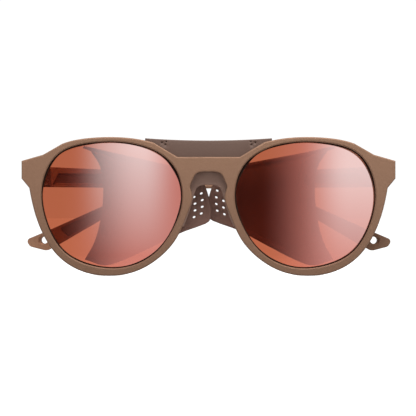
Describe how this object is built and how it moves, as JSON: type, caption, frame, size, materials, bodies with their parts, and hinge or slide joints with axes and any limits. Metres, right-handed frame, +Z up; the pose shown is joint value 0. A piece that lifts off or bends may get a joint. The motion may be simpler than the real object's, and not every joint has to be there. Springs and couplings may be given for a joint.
{
  "type": "glacier glasses",
  "caption": "Round glacier glasses, folded, with mirrored lenses, a keyhole bridge, a soft brow piece and soft perforated side shields that slide on folding temples.",
  "frame": {"origin": "middle of the bounding box's underside, where the rims touch the ground", "axes": "+X to the wearer's left, +Y from the lenses back to the face, +Z up"},
  "size_m": [0.145, 0.0292, 0.0538],
  "materials": {
    "frame_bronze": "matte metallic bronze",
    "lens_mirror": "orange-brown tint with a rose mirror coat",
    "soft_brown": "soft matte",
    "shield_brown": "soft matte",
    "grip_rubber": "soft matte",
    "clip_plastic": "matte",
    "hinge_steel": "satin",
    "screw_steel": "satin",
    "strip_steel": "satin",
    "magnet_nickel": "nickel plated"
  },
  "bodies": {
    "front": {"front_frame": "frame_bronze", "brow_shield": "soft_brown", "nose_saddle": "soft_brown", "saddle_clip": "clip_plastic", "left_lens": "lens_mirror", "left_hinge_front": "hinge_steel", "left_hinge_front_screws": "screw_steel", "left_hinge_pin": "screw_steel", "right_lens": "lens_mirror", "right_hinge_front": "hinge_steel", "right_hinge_front_screws": "screw_steel", "right_hinge_pin": "screw_steel"},
    "left_temple": {"left_temple": "frame_bronze", "left_hinge_temple": "hinge_steel", "left_hinge_temple_screws": "screw_steel", "left_temple_strip": "strip_steel", "left_temple_grip": "grip_rubber", "left_temple_core": "hinge_steel"},
    "right_temple": {"right_temple": "frame_bronze", "right_hinge_temple": "hinge_steel", "right_hinge_temple_screws": "screw_steel", "right_temple_strip": "strip_steel", "right_temple_grip": "grip_rubber", "right_temple_core": "hinge_steel"},
    "left_shield": {"left_shield_panel": "shield_brown", "left_shield_band": "shield_brown", "left_shield_carrier": "clip_plastic", "left_shield_magnets": "magnet_nickel"},
    "right_shield": {"right_shield_panel": "shield_brown", "right_shield_band": "shield_brown", "right_shield_carrier": "clip_plastic", "right_shield_magnets": "magnet_nickel"}
  },
  "joints": [
    {"name": "left_temple_fold", "type": "hinge", "parent": "front", "child": "left_temple", "pos_m": [0.067, 0.0033, 0.0385], "axis": [0, 0, -1], "range_deg": [0, 87.5], "deforming": ["left_shield_panel", "left_shield_band"]},
    {"name": "right_temple_fold", "type": "hinge", "parent": "front", "child": "right_temple", "pos_m": [-0.067, 0.0033, 0.0385], "axis": [0, 0, 1], "range_deg": [0, 92], "deforming": ["right_shield_panel", "right_shield_band"]},
    {"name": "left_shield_slide", "type": "slide", "parent": "left_temple", "child": "left_shield", "axis": [0.9969, -0.0785, 0], "range_m": [0, 0.0212]},
    {"name": "right_shield_slide", "type": "slide", "parent": "right_temple", "child": "right_shield", "axis": [-1, 0, 0], "range_m": [0, 0.022]}
  ]
}
